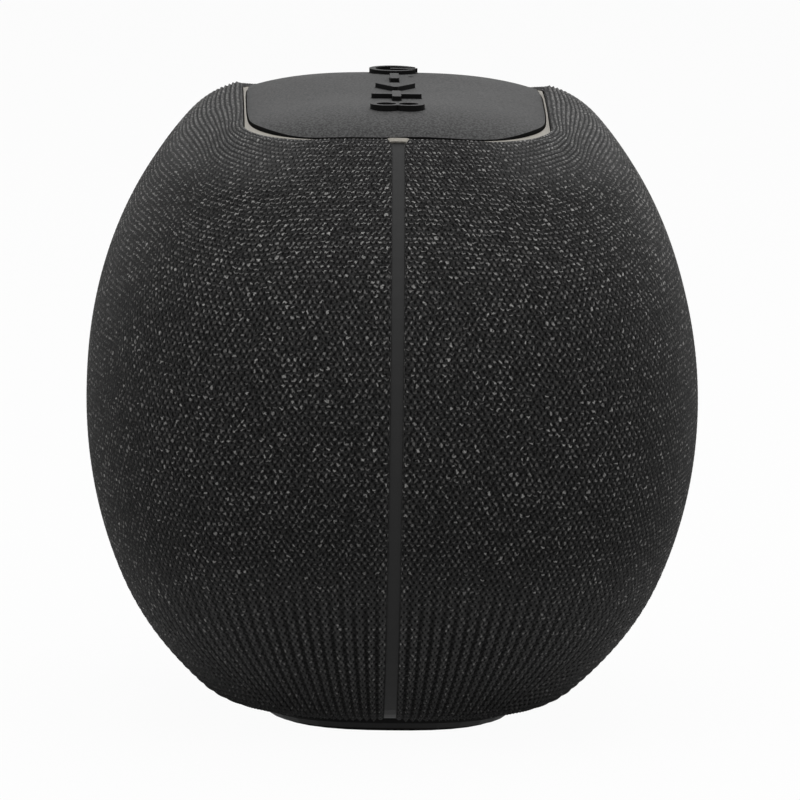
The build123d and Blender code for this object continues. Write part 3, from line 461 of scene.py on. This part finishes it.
def outline_reach(turn, half_x, half_y, power):
    """Distance from the middle to a superellipse in a direction."""
    c, s = np.abs(np.cos(turn)), np.abs(np.sin(turn))
    return ((c / half_x) ** power + (s / half_y) ** power) ** (-1 / power)


def smooth_step(share):
    share = np.clip(share, 0, 1)
    return share**2 * (3 - 2 * share)


def corner_power(z):
    """Power of the plan outline: squarer at the rim and rounder at the foot than the waist."""
    fall = smooth_step((plan_turn_z - z) / (plan_turn_z - hem_z))
    climb = smooth_step((z - rim_turn_z) / (rim_top_z - rim_turn_z))
    return plan_power + (foot_plan_power - plan_power) * fall + (rim_plan_power - plan_power) * climb


def body_reach(turn, z):
    return girth(z) * outline_reach(turn, half_width, half_depth, corner_power(z))


# ---------------------------------------------------------------- knitted covers
seam_half = 1.8 * mm
seam_flare = 1.0 * mm
flare_start_z = 146.9 * mm
flare_end_z = 148.3 * mm
tab_lift = 0.2 * mm
stitch_relief = 0.17 * mm
rib_relief = 0.16 * mm
gather_relief = 0.45 * mm
gather_wales = 2
rim_corner = 16.0 * mm
rim_roll = 1.1 * mm
rim_rest = 0.15 * mm
rim_tuck = 4.2 * mm
seam_roll = 0.55 * mm
seam_tuck = 1.6 * mm
profile_steps = 150
tuck_steps = 5
tucked_under = 0.995
hem_lift = 0.1 * mm
seam_swell = 0.25 * mm
seam_turns = (30, 60, 90)
fade_rows = 6
fade_columns = 3
no_length = 1e-12
tab_rows = 7
tab_columns = 13
tab_start_z = 147.5 * mm
tab_end_z = 148.2 * mm
tab_overlap = 0.1 * mm
tab_corner = 0.25 * mm
tab_thickness = 0.5 * mm
tab_edge = 0.1 * mm


def beside_recess(x, y, corner):
    """Signed distance to the recess's outline with a corner radius, below 0 inside."""
    over_x = np.abs(x) - (recess_half_x - corner)
    over_y = np.abs(y) - (recess_half_y - corner)
    out = np.hypot(np.maximum(over_x, 0), np.maximum(over_y, 0))
    return out + np.minimum(np.maximum(over_x, over_y), 0) - corner


def recess_inward(x, y):
    """Direction straight in towards the recess from a point beside it."""
    step = 0.01 * mm
    fall_x = beside_recess(x - step, y, rim_corner) - beside_recess(x + step, y, rim_corner)
    fall_y = beside_recess(x, y - step, rim_corner) - beside_recess(x, y + step, rim_corner)
    return fall_x / hypot(fall_x, fall_y), fall_y / hypot(fall_x, fall_y)


def rim_floor(x, y):
    """Lowest height of the cover's edge: on the bezel where it laps over a corner of it."""
    bezel_top = bezel_side_z + (bezel_end_z - bezel_side_z) * (x / recess_half_x) ** 2
    return np.where(beside_recess(x, y, recess_corner) < rim_rest, bezel_top + rim_rest, 0.0)


def seam_opening(z):
    """Half width between the covers, which turn away from each other at the top."""
    climb = np.clip((z - flare_start_z) / (flare_end_z - flare_start_z), 0, 1)
    return seam_half + seam_flare * climb**2


def seam_turn(z):
    """Direction of the seam's edge from the middle, at a height."""
    return np.arcsin(seam_opening(z) / body_reach(0.0, z))


def direction_at(share, z):
    """Direction of a wale, by its share of the way round from seam to seam."""
    start = seam_turn(z)
    return start + (pi - 2 * start) * share


def rim_height(share):
    """Height at which a wale starts to roll over into the recess."""
    low, high = np.full_like(share, shoulder_z), np.full_like(share, rim_top_z)
    for _ in range(40):
        z = (low + high) / 2
        turn = direction_at(share, z)
        reach = body_reach(turn, z)
        inside = beside_recess(reach * np.cos(turn), reach * np.sin(turn), rim_corner) < rim_roll
        high = np.where(inside, z, high)
        low = np.where(inside, low, z)
    return low


def even_wales():
    """Shares of the way round that set the wales evenly along the waist, two columns to a wale."""
    share = np.linspace(0, 1, 3001)
    turn = direction_at(share, waist_z)
    reach = body_reach(turn, waist_z)
    steps = np.hypot(np.diff(reach * np.cos(turn)), np.diff(reach * np.sin(turn)))
    along = np.concatenate([[0], np.cumsum(steps)])
    wales = round(along[-1] / stitch_wale)
    return np.interp(np.linspace(0, along[-1], 2 * wales + 1), along, share)


def wale_profiles(shares):
    """Each wale's line from the base, up the side and down the recess's wall."""
    top = rim_height(shares)
    lines = []
    climb = (1 - np.cos(np.linspace(0, pi, profile_steps))) / 2
    tuck = np.linspace(0, 1, tuck_steps + 1)[1:]
    for share, end in zip(shares, top):
        z = hem_z + (end - hem_z) * climb
        turn = direction_at(share, z)
        reach = body_reach(turn, z)
        x, y = reach * np.cos(turn), reach * np.sin(turn)
        base_edge = outline_reach(turn[0], base_half_x, base_half_y, base_power)
        line = []
        for r in (base_edge * tucked_under, base_edge):
            line.append((r * cos(turn[0]), max(r * sin(turn[0]), seam_half), hem_z + hem_lift))
        y = np.maximum(y, seam_half)
        line += list(zip(x, y, np.where(z > shoulder_z, np.maximum(z, rim_floor(x, y)), z)))
        slide = rim_roll * np.sin(tuck * pi / 2)
        fall = rim_roll * (1 - np.cos(tuck * pi / 2))
        in_x, in_y = recess_inward(x[-1], y[-1])
        for along, down in zip(slide, fall):
            edge = (x[-1] + in_x * along, max(y[-1] + in_y * along, seam_half))
            line.append((*edge, max(end - down, float(rim_floor(*edge)))))
        line.append((*edge, max(end - rim_tuck, float(rim_floor(*edge)))))
        lines.append(np.array(line))
    return lines


def even_courses(lines, courses):
    """The wale lines, each divided evenly, two rows to a course."""
    grid = np.empty((2 * courses + 1, len(lines), 3))
    for column, line in enumerate(lines):
        steps = np.linalg.norm(np.diff(line, axis=0), axis=1)
        along = np.concatenate([[0], np.cumsum(steps)])
        stops = np.linspace(0, along[-1], 2 * courses + 1)
        for axis in range(3):
            grid[:, column, axis] = np.interp(stops, along, line[:, axis])
    return grid


def outward(grid):
    """Unit normals of a grid of points, away from the body."""
    up = np.gradient(grid, axis=0)
    across = np.gradient(grid, axis=1)
    normal = np.cross(across, up)
    length = np.linalg.norm(normal, axis=2, keepdims=True)
    normal /= np.maximum(length, no_length)
    towards = grid - np.array([0, 0, waist_z])
    flip = np.sign(np.sum(normal * towards, axis=2).mean())
    return normal * flip


def grid_area(grid):
    """Area of the surface through a grid of points, in square metres."""
    along = grid[1:, :-1] - grid[:-1, :-1]
    across = grid[:-1, 1:] - grid[:-1, :-1]
    return float(np.linalg.norm(np.cross(along, across), axis=2).sum())


def raise_stitches(grid):
    """Every stitch stands up as a small bump, and the cloth gathers towards the hem."""
    rows, columns = grid.shape[:2]
    row = np.arange(rows)[:, None]
    column = np.arange(columns)[None, :]
    stitches = np.cos(pi * column) * np.cos(pi * row / 2)
    beside, height = np.abs(grid[:, :, 1]), grid[:, :, 2]
    ribbed = np.clip((height - rib_start_z) / (rib_end_z - rib_start_z), 0, 1)
    ribbed = ribbed * smooth_step((beside - rib_start_y) / (rib_end_y - rib_start_y))
    gathered = np.clip((gather_top_z - height) / (gather_top_z - hem_z), 0, 1) ** 1.5
    folds = np.sin(pi * column / gather_wales)
    lift = stitch_relief * stitches + rib_relief * ribbed * np.cos(pi * row)
    lift += gather_relief * gathered * folds
    from_hem = np.minimum(row, rows - 1 - row) / fade_rows
    from_seam = np.minimum(column, columns - 1 - column) / fade_columns
    fade = np.minimum(1, from_hem) * np.minimum(1, from_seam)
    return grid + outward(grid) * (lift * fade)[:, :, None]


def turn_in_seams(grid):
    """Extra columns at both seams, rolled into the groove beside the strip."""
    normal = outward(grid)
    sides = []
    for edge, sideways in ((0, -1), (-1, -1)):
        line, out = grid[:, edge], normal[:, edge].copy()
        out[:, 1] = 0
        out /= np.linalg.norm(out, axis=1, keepdims=True)
        extra = []
        for turn in seam_turns:
            a = radians(turn)
            shift = np.array([0, sideways, 0]) * seam_swell * sin(a)
            extra.append(line + shift - out * seam_roll * (1 - cos(a)))
        extra.append(extra[-1] - out * seam_tuck)
        sides.append(extra)
    first = np.stack(sides[0][::-1], axis=1)
    last = np.stack(sides[1], axis=1)
    return np.concatenate([first, grid, last], axis=1)


def cover_piece(name, side, node):
    """One knitted cover, stretched over its half of the body: side -1 is the front, 1 the rear."""
    shares = even_wales()
    lines = wale_profiles(shares)
    longest = max(np.linalg.norm(np.diff(line, axis=0), axis=1).sum() for line in lines)
    courses = round(longest / stitch_course)
    smooth = even_courses(lines, courses)
    grid = turn_in_seams(raise_stitches(smooth))
    rows, columns = grid.shape[:2]
    seam_columns = len(seam_turns) + 1
    grid[:, :, 1] *= side
    mesh = bpy.data.meshes.new(name)
    index = np.arange(rows * columns).reshape(rows, columns)
    quads = np.stack([index[:-1, :-1], index[:-1, 1:], index[1:, 1:], index[1:, :-1]], axis=2)
    if side > 0:
        quads = quads[:, :, ::-1]
    mesh.from_pydata(grid.reshape(-1, 3).tolist(), [], quads.reshape(-1, 4).tolist())
    weave = mesh.uv_layers.new(name="weave")
    corner = quads.reshape(-1)
    wale = (corner % columns - seam_columns) / 2
    course = (corner // columns) / 2
    weave.data.foreach_set("uv", np.stack([wale, course], axis=1).ravel())
    mesh.polygons.foreach_set("use_smooth", [True] * len(mesh.polygons))
    mesh.materials.append(finishes["knit_fabric"])
    cover = bpy.data.objects.new(name, mesh)
    bpy.context.scene.collection.objects.link(cover)
    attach(cover, "root")
    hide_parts(node)
    cut = grid_area(turn_in_seams(smooth))


cover_piece("knit_cover_front", -1, "fabric_front")
cover_piece("knit_cover_rear", 1, "fabric_rear")


def bezel_tab(name, side):
    """The bezel's pale tab between the covers, over the top of a seam strip."""
    heights = np.linspace(tab_start_z, tab_end_z, tab_rows)
    across = np.linspace(-1, 1, tab_columns)
    points = []
    for z in heights:
        half = float(seam_opening(z)) + tab_overlap
        reach = float(body_reach(0.0, z)) + tab_lift
        for share in across:
            round_off = tab_corner * abs(share) ** 6
            points.append((side * reach, half * share, z + tab_lift - round_off))
    index = np.arange(len(points)).reshape(len(heights), len(across))
    quads = np.stack([index[:-1, :-1], index[:-1, 1:], index[1:, 1:], index[1:, :-1]], axis=2)
    if side < 0:
        quads = quads[:, :, ::-1]
    mesh = bpy.data.meshes.new(name)
    mesh.from_pydata(points, [], quads.reshape(-1, 4).tolist())
    mesh.materials.append(finishes["bezel_plastic"])
    tab = bpy.data.objects.new(name, mesh)
    bpy.context.scene.collection.objects.link(tab)
    body = tab.modifiers.new("body", "SOLIDIFY")
    body.thickness = tab_thickness
    body.offset = -1
    edge = tab.modifiers.new("edge", "BEVEL")
    edge.width = tab_edge
    edge.segments = 2
    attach(tab, "root")


bezel_tab("bezel_tab_right", 1)
bezel_tab("bezel_tab_left", -1)


# ---------------------------------------------------------------- floor, light and camera
def background_rays(tree):
    """1 where the background is seen straight, in a gloss or through a clear piece."""
    rays = tree.nodes.new("ShaderNodeLightPath")
    total = rays.outputs["Is Camera Ray"]
    for name in ("Is Glossy Ray", "Is Transmission Ray"):
        both = tree.nodes.new("ShaderNodeMath")
        both.operation = "ADD"
        both.use_clamp = True
        tree.links.new(total, both.inputs[0])
        tree.links.new(rays.outputs[name], both.inputs[1])
        total = both.outputs[0]
    return total


floor_side = 12.0
floor_white = 0.96
world_light = 0.2
world_white = 1.0


def floor_finish():
    """A pale floor that reads as white in the view and in reflections."""
    white = Finish("floor")
    output = white.tree.nodes["Material Output"]
    white.set(Base_Color=(0.5, 0.5, 0.5), Roughness=0.9)
    glow = white.node("ShaderNodeEmission", None, {"Color": (1.0, 1.0, 1.0), "Strength": 1.0})
    share = Value(white, background_rays(white.tree)) * floor_white
    shaders = {0: share, 1: white.shader.outputs[0], 2: glow.outputs[0]}
    mixed = white.node("ShaderNodeMixShader", None, shaders)
    white.tree.links.new(mixed.outputs[0], output.inputs[0])
    return white.material


def add_floor():
    """A wide flat floor under the foot."""
    side = floor_side / 2
    corners = [(-side, -side, 0), (side, -side, 0), (side, side, 0), (-side, side, 0)]
    mesh = bpy.data.meshes.new("floor")
    mesh.from_pydata(corners, [], [(0, 1, 2, 3)])
    mesh.materials.append(floor_finish())
    floor = bpy.data.objects.new("floor", mesh)
    bpy.context.scene.collection.objects.link(floor)


def add_world():
    """Soft even light from all round, white as a background."""
    world = bpy.data.worlds.new("studio")
    bpy.context.scene.world = world
    world.use_nodes = True
    tree = world.node_tree
    back = tree.nodes["Background"]
    strength = tree.nodes.new("ShaderNodeMix")
    strength.data_type = "FLOAT"
    tree.links.new(background_rays(tree), strength.inputs[0])
    strength.inputs[2].default_value = world_light
    strength.inputs[3].default_value = world_white
    back.inputs[0].default_value = (1, 1, 1, 1)
    tree.links.new(strength.outputs[0], back.inputs[1])


def add_lamp(name, place, aim, size, power):
    """A soft box that is turned towards a point."""
    data = bpy.data.lights.new(name, "AREA")
    data.shape = "RECTANGLE"
    data.size, data.size_y = size
    data.energy = power
    lamp = bpy.data.objects.new(name, data)
    lamp.location = place
    lamp.rotation_euler = (Vector(aim) - Vector(place)).to_track_quat("-Z", "Y").to_euler()
    bpy.context.scene.collection.objects.link(lamp)


middle = Vector((0, 0, 76 * mm))
add_floor()
add_world()
add_lamp("overhead", (0.5, -0.05, 1.0), middle, (0.9, 0.9), 7)
add_lamp("back", (-0.5, 0.2, 1.0), middle, (1.2, 1.3), 9.5)
add_lamp("left", (0.5, -1.0, 0.5), middle, (0.5, 0.9), 2.5)
add_lamp("right", (0.4, 1.0, 0.45), middle, (0.5, 0.9), 2.5)

camera_distance = 4.0
camera_rise = radians(7.7)
camera_yaw = radians(-0.9)
camera_roll = radians(0.8)
view_span = 197.4 * mm
aim = Vector((0, 2.2 * mm, 76.3 * mm))
data = bpy.data.cameras.new("camera")
camera = bpy.data.objects.new("camera", data)
level = cos(camera_rise)
direction = Vector((level * cos(camera_yaw), level * sin(camera_yaw), sin(camera_rise)))
camera.location = aim + direction * camera_distance
facing = (-direction).to_track_quat("-Z", "Y").to_matrix().to_4x4()
camera.rotation_euler = (facing @ Matrix.Rotation(camera_roll, 4, "Z")).to_euler()
data.angle = 2 * atan(0.5 * view_span / camera_distance)
bpy.context.scene.collection.objects.link(camera)
bpy.context.scene.camera = camera
bpy.context.scene.view_settings.view_transform = "Standard"
